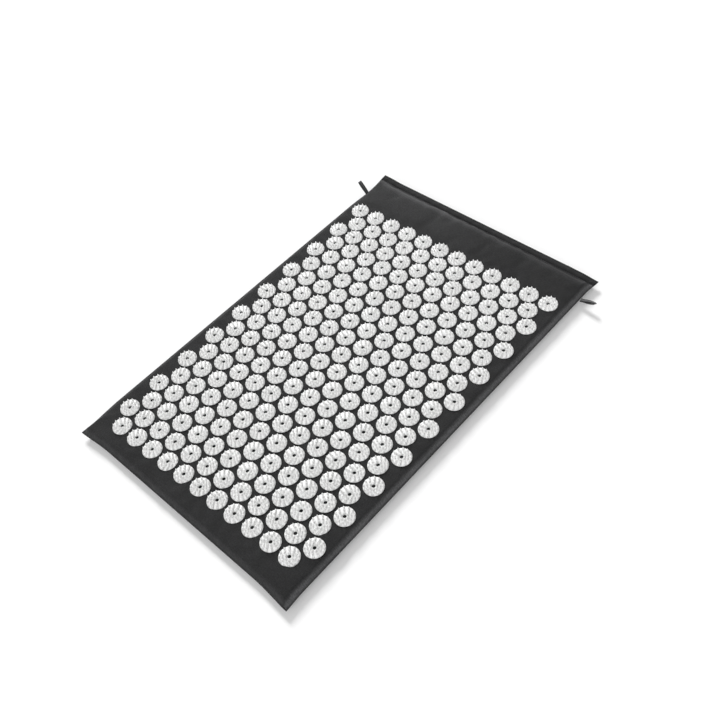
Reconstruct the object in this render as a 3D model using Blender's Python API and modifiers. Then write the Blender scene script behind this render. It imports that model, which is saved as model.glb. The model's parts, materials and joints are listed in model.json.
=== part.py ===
"""Acupressure mat: a zipped fabric cover, a foam slab inside it and a field of spiked discs on top.

X runs across the mat, +Y towards the head end, where the zip is, and +Z up.
The origin is on the floor, under the middle of the mat.
"""

import math

import bmesh
import bpy
from mathutils import Matrix, Vector

MM = 0.001

# Cover and foam
FABRIC_THICKNESS = 1.0 * MM
FOAM_THICKNESS = 17.0 * MM
CLEARANCE = 0.3 * MM

# Spiked discs
DISC_DIAMETER = 28.5 * MM
DISC_THICKNESS = 1.5 * MM
DISC_CHAMFER = 0.5 * MM
DISC_HOLE_DIAMETER = 3.8 * MM
SPIKE_HEIGHT = 4.0 * MM
SPIKE_WIDTH = 3.0 * MM
SPIKES_IN_RING = (6, 9, 12)
SPIKE_RING_RADIUS_SHARES = (0.30, 0.60, 0.87)
DISC_SIDES = 16
HOLE_SIDES = 6
SPIKE_SIDES = 3

# The discs past the first row are fused to the fabric, each as a crown of fewer spikes: how far the floor
# inside the crown and the hollow at its centre stand above the plate
CROWN_SPIKES = 8
CROWN_TIP_RADIUS_SHARE = 0.87
CROWN_FLOOR_RADIUS_SHARE = 0.60
CROWN_FLOOR_RISE = 2.0 * MM
CROWN_HOLLOW_RISE = 1.2 * MM

# Pattern of discs: staggered rows, the first one at the head end with the most discs, laid a little askew and
# to the right of the middle, with the first few gaps between rows a little closer
DISC_ROWS = 20
DISCS_IN_FIRST_ROW = 12
DISC_SPACING = 4.5 * MM
ROW_SPACING = 3.7 * MM
ROW_SKEW = math.radians(1.5)
COLUMN_SKEW = math.radians(0.25)
FIELD_SHIFT = 1.5 * MM
CLOSE_GAPS = 3
CLOSER_BY = 1.0 * MM

# Border of the mat, from its edge inwards: seam lip, shoulder over the foam, flat strip to the discs
SEAM_LIP = 1.5 * MM
SEAM_CREASE = 0.5 * MM
SHOULDER_RUN = 8.0 * MM
UNDER_SHOULDER_RUN = 6.0 * MM
SIDE_STRIP = 2.9 * MM
FOOT_STRIP = 19.0 * MM
HEAD_BAND = 54.95 * MM
HEAD_FLANGE = 9.5 * MM
HEAD_GROOVE_WIDTH = 1.5 * MM
HEAD_GROOVE_DEPTH = 0.9 * MM
HEAD_SHOULDER_RUN = 9.5 * MM
SHOULDER_STEPS = 4

# Corners: the sides and the foot are drawn in between them, so that each corner stands out as an ear
CORNER_RADIUS = 2.0 * MM
SIDE_DRAW_IN = 1.0 * MM
FOOT_DRAW_IN = 2.4 * MM
EAR_LENGTH = 28.0 * MM
EAR_STATION_SHARES = (0.3, 0.62, 1.0)
CORNER_ARC_STEPS = 4

# Zip in the head end, set back between the lips: each tape lies in the flange, a margin short of its groove
ZIP_RECESS = 3.0 * MM
COIL_WIDTH = 1.6 * MM
COIL_DEPTH = 1.8 * MM
TAPE_THICKNESS = 0.5 * MM
TAPE_MARGIN = 1.5 * MM
STOP_LENGTH = 2.4 * MM
SLIDER_LENGTH = 8.5 * MM
SLIDER_WALL = 0.8 * MM
SLIDER_WEDGE = 0.7 * MM
SLIDER_WEDGE_LENGTH = 3.0 * MM
SLIDER_NOSE_SHARE = 0.72
CROWN_LENGTH = 2.8 * MM
CROWN_WIDTH = 2.0 * MM
CROWN_WALL = 0.6 * MM

# Zip pull
PULL_PIN_DIAMETER = 0.9 * MM
PULL_THICKNESS = 1.0 * MM
PULL_ARM = 0.8 * MM
PULL_NECK = 3.6 * MM
PULL_LENGTH = 18.0 * MM
PULL_TIP_WIDTH = 5.4 * MM
PULL_HOLE_DIAMETER = 2.0 * MM
PULL_SIDES = 12

# Hanging loops of folded ribbon, one in each side seam
RIBBON_WIDTH = 6.0 * MM
RIBBON_THICKNESS = 0.9 * MM
LOOP_LENGTH = 26.5 * MM
LOOP_OPENING = 2.4 * MM
LEFT_LOOP_FROM_HEAD = 47.0 * MM
RIGHT_LOOP_FROM_HEAD = 43.5 * MM
LOOP_LEAN = math.radians(5)
LEFT_LOOP_LIFT = math.radians(45)
RIGHT_LOOP_LIFT = math.radians(12)
LOOP_SIDES = 12

# Edges sharper than this stay crisp in the shading
SHARP_EDGE = math.radians(35)

# Sizes that follow
PAD_HEIGHT = 2 * FABRIC_THICKNESS + 2 * CLEARANCE + FOAM_THICKNESS
SEAM_HEIGHT = PAD_HEIGHT / 2
DISC_RADIUS = DISC_DIAMETER / 2
DISC_PITCH = DISC_DIAMETER + DISC_SPACING
ROW_PITCH = math.sqrt((DISC_DIAMETER + ROW_SPACING) ** 2 - (DISC_PITCH / 2) ** 2)
SIDE_BORDER = SEAM_LIP + SEAM_CREASE + SHOULDER_RUN + SIDE_STRIP
FOOT_BORDER = SEAM_LIP + SEAM_CREASE + SHOULDER_RUN + FOOT_STRIP
HEAD_BORDER = HEAD_FLANGE + HEAD_GROOVE_WIDTH + HEAD_SHOULDER_RUN + HEAD_BAND
HALF_WIDTH = (DISCS_IN_FIRST_ROW - 1) * DISC_PITCH / 2 + DISC_RADIUS + SIDE_BORDER + SIDE_DRAW_IN
HALF_FIELD = ((DISC_ROWS - 1) * ROW_PITCH - CLOSE_GAPS * CLOSER_BY) / 2
HALF_LENGTH = (HEAD_BORDER + DISC_DIAMETER + FOOT_BORDER + FOOT_DRAW_IN) / 2 + HALF_FIELD
FIELD_Y = HALF_LENGTH - HEAD_BORDER - DISC_RADIUS - HALF_FIELD
ZIP_EDGE_Y = HALF_LENGTH - ZIP_RECESS
ZIP_PARTING = SLIDER_WEDGE / 2 + CLEARANCE
ZIP_HALF_HEIGHT = ZIP_PARTING + COIL_WIDTH
ZIP_HALF_LENGTH = HALF_WIDTH - SEAM_LIP - EAR_LENGTH - CLEARANCE
SLIDER_HALF_HEIGHT = ZIP_HALF_HEIGHT + CLEARANCE + SLIDER_WALL
MOUTH_RISE = SLIDER_HALF_HEIGHT + CLEARANCE / 2
TAPE_START_Y = HALF_LENGTH - HEAD_FLANGE + TAPE_MARGIN
COIL_REACH = ZIP_HALF_LENGTH - STOP_LENGTH - CLEARANCE
COIL_Y = ZIP_EDGE_Y + CLEARANCE
SLIDER_PLATE_Y = COIL_Y + COIL_DEPTH + CLEARANCE
SLIDER_X = COIL_REACH - SLIDER_LENGTH / 2
PULL_BORE_RADIUS = PULL_PIN_DIAMETER / 2 + CLEARANCE
PULL_AXIS_Y = SLIDER_PLATE_Y + SLIDER_WALL + PULL_BORE_RADIUS + CLEARANCE


def clear_scene():
    for obj in list(bpy.data.objects):
        bpy.data.objects.remove(obj, do_unlink=True)


def new_collection(name):
    collection = bpy.data.collections.new(name)
    bpy.context.scene.collection.children.link(collection)
    return collection


def material(name, colour, roughness, metallic=0.0):
    made = bpy.data.materials.new(name)
    made.use_nodes = True
    shader = made.node_tree.nodes["Principled BSDF"]
    shader.inputs["Base Color"].default_value = (*colour, 1.0)
    shader.inputs["Roughness"].default_value = roughness
    shader.inputs["Metallic"].default_value = metallic
    made.diffuse_color = (*colour, 1.0)
    return made


def add_object(name, data, collection, finish=None):
    obj = bpy.data.objects.new(name, data)
    collection.objects.link(obj)
    if finish and not data.materials:
        data.materials.append(finish)
    return obj


def mesh_of(name, bm):
    mesh = bpy.data.meshes.new(name)
    bm.to_mesh(mesh)
    bm.free()
    return mesh


def as_helper(obj):
    obj.hide_render = True
    obj.display_type = "WIRE"
    return obj


def add_boolean(obj, other, operation):
    cut = obj.modifiers.new(other.name, "BOOLEAN")
    cut.operation = operation
    cut.object = other
    cut.solver = "EXACT"
    return cut


def smooth_shading(mesh):
    mesh.shade_smooth()
    mesh.set_sharp_from_angle(angle=SHARP_EDGE)


def baked_mesh(obj, name):
    """The object's shape with its modifiers, as a plain mesh with the seams of its caps welded."""
    bpy.context.view_layer.update()
    mesh = bpy.data.meshes.new_from_object(obj.evaluated_get(bpy.context.evaluated_depsgraph_get()))
    mesh.name = name
    bm = bmesh.new()
    bm.from_mesh(mesh)
    bmesh.ops.remove_doubles(bm, verts=bm.verts, dist=CLEARANCE / 1000)
    bm.to_mesh(mesh)
    bm.free()
    return mesh


def add_box(bm, low, high):
    """A box between two corners."""
    low, high = Vector(low), Vector(high)
    size = high - low
    place = Matrix.Translation((low + high) / 2) @ Matrix.Diagonal((*size, 1.0))
    bmesh.ops.create_cube(bm, size=1.0, matrix=place)


def add_prism(bm, sides, low_radius, high_radius, depth, place):
    """A prism or a pyramid of this many sides, centred on its own Z axis, then moved to its place."""
    bmesh.ops.create_cone(
        bm,
        cap_ends=True,
        segments=sides,
        radius1=low_radius,
        radius2=high_radius,
        depth=depth,
        matrix=place,
    )


def box_mesh(name, low, high):
    bm = bmesh.new()
    add_box(bm, low, high)
    return mesh_of(name, bm)


def ease(share):
    """Rises smoothly from 0 to 1."""
    share = min(max(share, 0.0), 1.0)
    return share * share * (3 - 2 * share)


def outline(side_inset, foot_inset, head_inset):
    """The mat's outline moved inwards, anticlockwise from above, as (x, y, head) points.

    head is 0 on the sides, the foot and the corners, and 1 where the head end is open for the zip.
    """
    radius = CORNER_RADIUS + side_inset

    def draw_in(along, up, reach):
        """How far an edge is drawn in, this far from its corner."""
        if along.x:
            return (FOOT_DRAW_IN if up < 0 else 0.0) * ease(reach / EAR_LENGTH)
        return SIDE_DRAW_IN * ease(reach / EAR_LENGTH)

    points = []
    corners = ((1, 1, (0, 1)), (-1, 1, (-1, 0)), (-1, -1, (0, -1)), (1, -1, (1, 0)))
    for right, up, travel in corners:
        into = Vector(travel)
        away = Vector((-into.y, into.x))
        end_inset = head_inset if up > 0 else foot_inset
        corner = Vector((right * (HALF_WIDTH - side_inset), up * (HALF_LENGTH - end_inset)))
        reaches = [radius + (EAR_LENGTH - radius) * share for share in EAR_STATION_SHARES]
        for reach in reversed(reaches):
            point = corner - into * reach + away * draw_in(into, up, reach)
            points.append((point, reach if abs(into.x) and up > 0 else 0))
        centre = corner - into * radius + away * radius
        for step in range(CORNER_ARC_STEPS + 1):
            angle = math.pi / 2 * step / CORNER_ARC_STEPS
            points.append((centre - away * radius * math.cos(angle) + into * radius * math.sin(angle), 0))
        for reach in reaches:
            point = corner + away * reach - into * draw_in(away, up, reach)
            points.append((point, reach if abs(away.x) and up > 0 else 0))
    return [(point.x, point.y, ease(reach / EAR_LENGTH)) for point, reach in points]


def loft(rings, cap_first, cap_last):
    """A skin over closed rings of points, each bridged to the next."""
    bm = bmesh.new()
    made = [[bm.verts.new(point) for point in ring] for ring in rings]
    loops = []
    for ring in made:
        loops.append([bm.edges.new((ring[i - 1], ring[i])) for i in range(len(ring))])
    for one, two in zip(loops, loops[1:]):
        bmesh.ops.bridge_loops(bm, edges=one + two)
    if cap_first:
        bm.faces.new(made[0])
    if cap_last:
        bm.faces.new(made[-1])
    bmesh.ops.recalc_face_normals(bm, faces=bm.faces)
    return bm


def cover_rings(side):
    """The rings of one cover panel, from its edge to its flat face: side is 1 for the top and -1 below."""
    flat = SEAM_HEIGHT + side * PAD_HEIGHT / 2
    run = SHOULDER_RUN if side > 0 else UNDER_SHOULDER_RUN

    def lip_height(head):
        return SEAM_HEIGHT + side * (CLEARANCE / 2 + FABRIC_THICKNESS + MOUTH_RISE * head)

    def groove_height(head):
        return lip_height(head) - side * HEAD_GROOVE_DEPTH * head

    rings = []
    for inset, head_inset, height in (
        (0, 0, lip_height),
        (SEAM_LIP, HEAD_FLANGE, lip_height),
        (SEAM_LIP + SEAM_CREASE, HEAD_FLANGE + HEAD_GROOVE_WIDTH, groove_height),
    ):
        rings.append([(x, y, height(head)) for x, y, head in outline(inset, inset, head_inset)])
    for step in range(1, SHOULDER_STEPS + 1):
        share = step / SHOULDER_STEPS
        rise = math.sin(math.pi / 2 * share)
        inset = SEAM_LIP + SEAM_CREASE + run * share
        head_inset = HEAD_FLANGE + HEAD_GROOVE_WIDTH + HEAD_SHOULDER_RUN * share
        rings.append(
            [
                (x, y, groove_height(head) + (flat - groove_height(head)) * rise)
                for x, y, head in outline(inset, inset, head_inset)
            ]
        )
    return rings


def foam_rings():
    """The foam fills the cover: the same shoulders, a fabric's thickness and a clearance further in."""
    cover = FABRIC_THICKNESS + CLEARANCE
    rings = []
    steps = [(-1, step) for step in range(SHOULDER_STEPS, 0, -1)]
    steps += [(1, step) for step in range(1, SHOULDER_STEPS + 1)]
    for side, step in steps:
        share = step / SHOULDER_STEPS
        flat = SEAM_HEIGHT + side * PAD_HEIGHT / 2
        run = SHOULDER_RUN if side > 0 else UNDER_SHOULDER_RUN
        lip = CLEARANCE / 2 + FABRIC_THICKNESS
        rise = PAD_HEIGHT / 2 - lip
        slope = math.atan(rise * math.pi / 2 * math.cos(math.pi / 2 * share) / run)
        margin = (cover + CLEARANCE) * math.sin(slope) + CLEARANCE
        inset = SEAM_LIP + SEAM_CREASE + run * share + margin
        head_inset = HEAD_FLANGE + HEAD_GROOVE_WIDTH + HEAD_SHOULDER_RUN * share + margin
        height = flat - side * rise * (1 - math.sin(math.pi / 2 * share)) - side * cover * math.cos(slope)
        rings.append([(x, y, height) for x, y, head in outline(inset, inset, head_inset)])
    return rings


def disc_places():
    """The centre of every disc, row by row from the head end, with each second row one disc shorter."""
    across = Vector((math.cos(ROW_SKEW), math.sin(ROW_SKEW))) * DISC_PITCH
    along = Vector((math.sin(COLUMN_SKEW), -math.cos(COLUMN_SKEW)))
    rows = []
    for row in range(DISC_ROWS):
        count = DISCS_IN_FIRST_ROW - row % 2
        reach = row * ROW_PITCH - min(row, CLOSE_GAPS) * CLOSER_BY - HALF_FIELD
        middle = Vector((FIELD_SHIFT, FIELD_Y)) + along * reach
        rows.append([tuple(middle + across * (i - (count - 1) / 2)) for i in range(count)])
    return rows


def crown_mesh(places):
    """The discs that are fused to the fabric: each an eight-sided crown of spikes round a hollow."""
    bm = bmesh.new()
    turn = 2 * math.pi / CROWN_SPIKES
    plate_height = PAD_HEIGHT + DISC_THICKNESS

    def ring(centre, radius, height, offset):
        angles = [turn * (i + offset) for i in range(CROWN_SPIKES)]
        return [
            bm.verts.new((centre[0] + radius * math.cos(a), centre[1] + radius * math.sin(a), height))
            for a in angles
        ]

    for centre in places:
        base = ring(centre, DISC_RADIUS, PAD_HEIGHT - FABRIC_THICKNESS / 2, 0)
        rim = ring(centre, DISC_RADIUS, PAD_HEIGHT, 0)
        tips = ring(centre, DISC_RADIUS * CROWN_TIP_RADIUS_SHARE, plate_height + SPIKE_HEIGHT, 0.5)
        floor = ring(centre, DISC_RADIUS * CROWN_FLOOR_RADIUS_SHARE, plate_height + CROWN_FLOOR_RISE, 0)
        hollow = bm.verts.new((*centre, plate_height + CROWN_HOLLOW_RISE))
        bm.faces.new(reversed(base))
        for i in range(CROWN_SPIKES):
            j = (i + 1) % CROWN_SPIKES
            bm.faces.new((base[i], base[j], rim[j], rim[i]))
            bm.faces.new((rim[i], rim[j], tips[i]))
            bm.faces.new((rim[j], floor[j], tips[i]))
            bm.faces.new((floor[j], floor[i], tips[i]))
            bm.faces.new((floor[i], rim[i], tips[i]))
            bm.faces.new((floor[i], floor[j], hollow))
    return mesh_of("fused_discs", bm)


def make_panels(parts, helpers, fabric, rows):
    """The two sides of the cover, as fabric of one thickness, with the fused discs on the upper one."""
    for name, side in (("top_panel", 1), ("bottom_panel", -1)):
        bm = loft(cover_rings(side), False, True)
        flat = max(bm.faces, key=lambda face: face.calc_area())
        if flat.normal.z * side < 0:
            bmesh.ops.reverse_faces(bm, faces=bm.faces)
        panel = add_object(name, mesh_of(name, bm), parts, fabric)
        smooth_shading(panel.data)
        shell = panel.modifiers.new("fabric", "SOLIDIFY")
        shell.thickness = FABRIC_THICKNESS
        shell.offset = -1
        shell.use_even_offset = True
    fused = as_helper(add_object("fused_discs", crown_mesh([p for row in rows[1:] for p in row]), helpers))
    add_boolean(parts.objects["top_panel"], fused, "UNION")


def make_foam(parts, foam):
    core = add_object("foam_core", mesh_of("foam_core", loft(foam_rings(), True, True)), parts, foam)
    smooth_shading(core.data)


def spike_disc_mesh(helpers, plastic):
    """One disc: a chamfered plate with a centre hole and three rings of pointed spikes."""
    rim = DISC_THICKNESS - DISC_CHAMFER
    bm = bmesh.new()
    add_prism(bm, DISC_SIDES, DISC_RADIUS, DISC_RADIUS, rim, Matrix.Translation((0, 0, rim / 2)))
    top = max(bm.faces, key=lambda face: face.calc_center_median().z)
    bmesh.ops.inset_region(bm, faces=[top], thickness=DISC_CHAMFER, depth=DISC_CHAMFER)
    disc = add_object("disc_blank", mesh_of("disc_blank", bm), helpers, plastic)

    bm = bmesh.new()
    depth = SPIKE_HEIGHT + DISC_THICKNESS / 2
    for count, share in zip(SPIKES_IN_RING, SPIKE_RING_RADIUS_SHARES):
        for i in range(count):
            turn = Matrix.Rotation(2 * math.pi * i / count, 4, "Z")
            place = Matrix.Translation((DISC_RADIUS * share, 0, DISC_THICKNESS / 2 + depth / 2))
            add_prism(bm, SPIKE_SIDES, SPIKE_WIDTH / 2, 0, depth, turn @ place)
    spikes = as_helper(add_object("disc_spikes", mesh_of("disc_spikes", bm), helpers))

    bm = bmesh.new()
    hole_radius = DISC_HOLE_DIAMETER / 2
    add_prism(bm, HOLE_SIDES, hole_radius, hole_radius, 4 * DISC_THICKNESS, Matrix())
    hole = as_helper(add_object("disc_hole", mesh_of("disc_hole", bm), helpers))
    add_boolean(disc, spikes, "UNION")
    add_boolean(disc, hole, "DIFFERENCE")
    mesh = baked_mesh(disc, "spike_disc")
    mesh.materials.clear()
    mesh.materials.append(plastic)
    as_helper(disc)
    disc.modifiers.clear()
    return mesh


def make_discs(parts, helpers, plastic, first_row):
    """The first row of discs, each a piece of its own that rests on the fabric."""
    mesh = spike_disc_mesh(helpers, plastic)
    for number, (x, y) in enumerate(first_row, 1):
        disc = add_object(f"spike_disc_{number:02d}", mesh, parts)
        disc.location = (x, y, PAD_HEIGHT + CLEARANCE)


def levels(side, near, far):
    """Two heights on one side of the seam, the lower one first."""
    return sorted((SEAM_HEIGHT + side * near, SEAM_HEIGHT + side * far))


def add_zip_box(name, collection, finish, across, along_y, heights):
    """A box of the zip, between two places along X, two along Y and two heights."""
    low, high = zip(across, along_y, heights)
    return add_object(name, box_mesh(name, low, high), collection, finish)


def make_zip_chain(parts, helpers, tape, nylon):
    """The tapes lie against the lips of the head end. Each turns towards the other behind its coil."""
    across = (-ZIP_HALF_LENGTH, ZIP_HALF_LENGTH)
    sewn = (TAPE_START_Y, ZIP_EDGE_Y)
    turned = (ZIP_EDGE_Y - TAPE_THICKNESS, ZIP_EDGE_Y)
    coiled = (COIL_Y, COIL_Y + COIL_DEPTH)
    for name, side in (("upper", 1), ("lower", -1)):
        heights = levels(side, SLIDER_HALF_HEIGHT - TAPE_THICKNESS, SLIDER_HALF_HEIGHT)
        band = add_zip_box(f"zip_tape_{name}", parts, tape, across, sewn, heights)
        heights = levels(side, ZIP_PARTING, SLIDER_HALF_HEIGHT - TAPE_THICKNESS / 2)
        edge = as_helper(add_zip_box(f"tape_edge_{name}", helpers, tape, across, turned, heights))
        add_boolean(band, edge, "UNION")
        heights = levels(side, ZIP_PARTING, ZIP_HALF_HEIGHT)
        add_zip_box(f"zip_coil_{name}", parts, nylon, (-COIL_REACH, COIL_REACH), coiled, heights)


def make_zip_stops(parts, metal):
    """Two stops past the closed end of the coils, and one across both coils at the open end."""
    closed = (ZIP_HALF_LENGTH - STOP_LENGTH, ZIP_HALF_LENGTH)
    opened = (-ZIP_HALF_LENGTH, STOP_LENGTH - ZIP_HALF_LENGTH)
    coiled = (COIL_Y, COIL_Y + COIL_DEPTH)
    for name, side in (("upper", 1), ("lower", -1)):
        heights = levels(side, ZIP_PARTING, ZIP_HALF_HEIGHT)
        add_zip_box(f"zip_top_stop_{name}", parts, metal, closed, coiled, heights)
    both = levels(1, -ZIP_HALF_HEIGHT, ZIP_HALF_HEIGHT)
    add_zip_box("zip_bottom_stop", parts, metal, opened, coiled, both)


def make_slider(parts, helpers, metal):
    """The slider: a front plate with a flange past each coil, a back plate, and the wedge that joins them.

    It is made flat, its front plate on its own XY plane, and then turned to face the head end.
    """
    cheek = ZIP_HALF_HEIGHT + CLEARANCE
    rim = SLIDER_HALF_HEIGHT
    half = SLIDER_LENGTH / 2
    nose = half * SLIDER_NOSE_SHARE
    depth = SLIDER_PLATE_Y - ZIP_EDGE_Y + TAPE_THICKNESS + CLEARANCE
    between = ZIP_HALF_HEIGHT - TAPE_THICKNESS - CLEARANCE
    wedge = SLIDER_WEDGE / 2
    bore_height = PULL_AXIS_Y - SLIDER_PLATE_Y
    crown_height = bore_height + PULL_BORE_RADIUS + CROWN_WALL

    points = ((-half, rim), (nose, rim), (half, cheek), (half, -cheek), (nose, -rim), (-half, -rim))
    body = flat_outline("zip_slider", points, SLIDER_WALL, parts, metal)
    body.data.transform(Matrix.Translation((0, 0, SLIDER_WALL / 2)))
    boxes = (
        ("flange_above", (-half, cheek, COIL_Y - SLIDER_PLATE_Y), (nose, rim, 0)),
        ("flange_below", (-half, -rim, COIL_Y - SLIDER_PLATE_Y), (nose, -cheek, 0)),
        ("slider_back", (-half, -between, -depth - SLIDER_WALL), (half, between, -depth)),
        ("slider_wedge", (half - SLIDER_WEDGE_LENGTH, -wedge, -depth - SLIDER_WALL / 2), (half, wedge, 0)),
        (
            "slider_crown",
            (-CROWN_LENGTH / 2, -CROWN_WIDTH / 2, SLIDER_WALL / 2),
            (CROWN_LENGTH / 2, CROWN_WIDTH / 2, crown_height),
        ),
    )
    for name, low, high in boxes:
        joined = as_helper(add_object(name, box_mesh(name, low, high), helpers))
        joined.parent = body
        add_boolean(body, joined, "UNION")
    bm = bmesh.new()
    place = Matrix.Translation((0, 0, bore_height)) @ Matrix.Rotation(math.pi / 2, 4, "X")
    add_prism(bm, PULL_SIDES, PULL_BORE_RADIUS, PULL_BORE_RADIUS, 2 * CROWN_WIDTH, place)
    bore = as_helper(add_object("crown_bore", mesh_of("crown_bore", bm), helpers))
    bore.parent = body
    add_boolean(body, bore, "DIFFERENCE")
    body.rotation_euler = (-math.pi / 2, 0, 0)
    body.location = (SLIDER_X, SLIDER_PLATE_Y, SEAM_HEIGHT)


def flat_outline(name, points, thickness, collection, finish, holes=()):
    """A flat plate of this outline, half its thickness to each side of its own XY plane."""
    curve = bpy.data.curves.new(name, "CURVE")
    curve.dimensions = "2D"
    curve.fill_mode = "BOTH"
    curve.extrude = thickness / 2
    for ring in (points, *holes):
        spline = curve.splines.new("POLY")
        spline.points.add(len(ring) - 1)
        for made, (x, y) in zip(spline.points, ring):
            made.co = (x, y, 0, 1)
        spline.use_cyclic_u = True
    flat = bpy.data.objects.new(name, curve)
    collection.objects.link(flat)
    mesh = baked_mesh(flat, name)
    bpy.data.objects.remove(flat, do_unlink=True)
    mesh.materials.clear()
    smooth_shading(mesh)
    return add_object(name, mesh, collection, finish)


def arc(centre, radius, start, end, steps):
    """Points on an arc, its angles in degrees."""
    angles = [math.radians(start + (end - start) * i / steps) for i in range(steps + 1)]
    return [(centre[0] + radius * math.cos(a), centre[1] + radius * math.sin(a)) for a in angles]


def make_pull(parts, helpers, metal):
    """The pull: a fork round the crown, a pin across it as the hinge, and a tab that lies along the zip."""
    gap = CROWN_WIDTH / 2 + CLEARANCE
    arm = gap + PULL_ARM
    eye = PULL_PIN_DIAMETER / 2
    tip = PULL_TIP_WIDTH / 2
    points = [(eye, gap), (eye, arm), (-PULL_NECK, arm)]
    points += arc((tip - PULL_LENGTH, 0), tip, 90, 270, PULL_SIDES // 2)
    points += [(-PULL_NECK, -arm), (eye, -arm), (eye, -gap), (-PULL_NECK, -gap), (-PULL_NECK, gap)]
    hole = arc((tip - PULL_LENGTH, 0), PULL_HOLE_DIAMETER / 2, 360, 0, PULL_SIDES)[:-1]
    pull = flat_outline("zip_pull", points, PULL_THICKNESS, parts, metal, (hole,))
    bm = bmesh.new()
    add_prism(bm, PULL_SIDES, eye, eye, 2 * arm - CLEARANCE, Matrix.Rotation(math.pi / 2, 4, "X"))
    pin = as_helper(add_object("pull_pin", mesh_of("pull_pin", bm), helpers))
    pin.parent = pull
    add_boolean(pull, pin, "UNION")
    pull.rotation_euler = (-math.pi / 2, 0, 0)
    pull.location = (SLIDER_X, PULL_AXIS_Y, SEAM_HEIGHT)


def make_loops(parts, ribbon):
    """A folded ribbon in each side seam: a round root on the seam, two plies, and the fold at its tip."""
    root = RIBBON_THICKNESS
    bulb = LOOP_OPENING / 2 + RIBBON_THICKNESS
    tip = (LOOP_LENGTH - root - bulb, 0)
    outer = arc((0, 0), root, 90, 270, LOOP_SIDES // 2) + arc(tip, bulb, -90, 90, LOOP_SIDES)
    slit_start = (3 * root, 0)
    inner = [slit_start] + arc(tip, LOOP_OPENING / 2, -90, 90, LOOP_SIDES)
    reach = root + CLEARANCE + RIBBON_WIDTH / 2 * math.sin(LOOP_LEAN)
    loops = (
        ("left", -1, LEFT_LOOP_LIFT, LEFT_LOOP_FROM_HEAD),
        ("right", 1, RIGHT_LOOP_LIFT, RIGHT_LOOP_FROM_HEAD),
    )
    for name, side, lift, from_head in loops:
        loop = flat_outline(f"hanging_loop_{name}", outer, RIBBON_WIDTH, parts, ribbon, (inner,))
        lean = LOOP_LEAN if side > 0 else math.pi - LOOP_LEAN
        turn = Matrix.Rotation(lean, 4, "Z") @ Matrix.Rotation(math.pi / 2, 4, "X")
        edge = side * (HALF_WIDTH - SIDE_DRAW_IN + reach)
        place = Matrix.Translation((edge, HALF_LENGTH - from_head, SEAM_HEIGHT))
        loop.matrix_world = place @ turn @ Matrix.Rotation(lift, 4, "Z")


def main():
    clear_scene()
    parts = new_collection("acupressure_mat")
    helpers = new_collection("helpers")
    fabric = material("cover_fabric", (0.045, 0.045, 0.047), 0.9)
    foam = material("foam", (0.75, 0.72, 0.62), 0.95)
    plastic = material("disc_plastic", (0.85, 0.85, 0.84), 0.4)
    tape = material("zip_tape", (0.03, 0.03, 0.032), 0.85)
    nylon = material("zip_nylon", (0.02, 0.02, 0.022), 0.5)
    metal = material("zip_metal", (0.05, 0.05, 0.055), 0.35, 0.9)
    ribbon = material("loop_ribbon", (0.025, 0.025, 0.027), 0.8)

    rows = disc_places()
    make_panels(parts, helpers, fabric, rows)
    make_foam(parts, foam)
    make_discs(parts, helpers, plastic, rows[0])
    make_zip_chain(parts, helpers, tape, nylon)
    make_zip_stops(parts, metal)
    make_slider(parts, helpers, metal)
    make_pull(parts, helpers, metal)
    make_loops(parts, ribbon)


main()
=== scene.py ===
"""Acupressure mat: the finish of its cover, spiked discs, zip and hanging loops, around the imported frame.

X runs across the mat, +Y towards the head end with the zip, +Z up. Every length is in metres.
"""

import json
import math
import random

import bmesh
import bpy
import numpy as np
from mathutils import Matrix, Vector, noise
from mathutils.bvhtree import BVHTree


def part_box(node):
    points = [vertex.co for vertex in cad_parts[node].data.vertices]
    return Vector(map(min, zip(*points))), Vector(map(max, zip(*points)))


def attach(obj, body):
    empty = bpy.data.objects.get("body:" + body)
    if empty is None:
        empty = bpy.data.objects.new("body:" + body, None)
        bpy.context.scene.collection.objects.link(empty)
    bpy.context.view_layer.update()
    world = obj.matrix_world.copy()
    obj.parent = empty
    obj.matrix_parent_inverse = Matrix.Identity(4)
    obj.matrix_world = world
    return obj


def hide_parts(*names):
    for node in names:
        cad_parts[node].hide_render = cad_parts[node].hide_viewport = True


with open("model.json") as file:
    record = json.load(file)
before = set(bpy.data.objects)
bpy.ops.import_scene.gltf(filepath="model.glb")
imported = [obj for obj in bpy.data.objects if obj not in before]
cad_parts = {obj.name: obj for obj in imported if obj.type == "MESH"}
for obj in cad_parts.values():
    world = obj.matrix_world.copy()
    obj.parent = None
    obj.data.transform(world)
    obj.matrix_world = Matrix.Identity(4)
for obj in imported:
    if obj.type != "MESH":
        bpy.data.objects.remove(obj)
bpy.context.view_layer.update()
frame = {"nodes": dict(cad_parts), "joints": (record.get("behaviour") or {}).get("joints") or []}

MM = 0.001
MERGE_DISTANCE = 0.001 * MM


def middle(node):
    low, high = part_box(node)
    return (low + high) / 2


# Sizes and places that the frame gives
HALF_WIDTH, HALF_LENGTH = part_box("top_panel")[1].xy
SEAM_HEIGHT = middle("zip_bottom_stop").z
PAD_HEIGHT = 2 * SEAM_HEIGHT
DISC_LOW, DISC_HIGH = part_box("spike_disc_01")
DISC_DIAMETER = DISC_HIGH.x - DISC_LOW.x
FIRST_DISC = middle("spike_disc_01")
LAST_DISC = middle("spike_disc_12")
MOUTH_HALF_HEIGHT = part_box("zip_tape_upper")[1].z - SEAM_HEIGHT
JOINTS = {joint["name"]: joint for joint in frame["joints"]}

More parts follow.
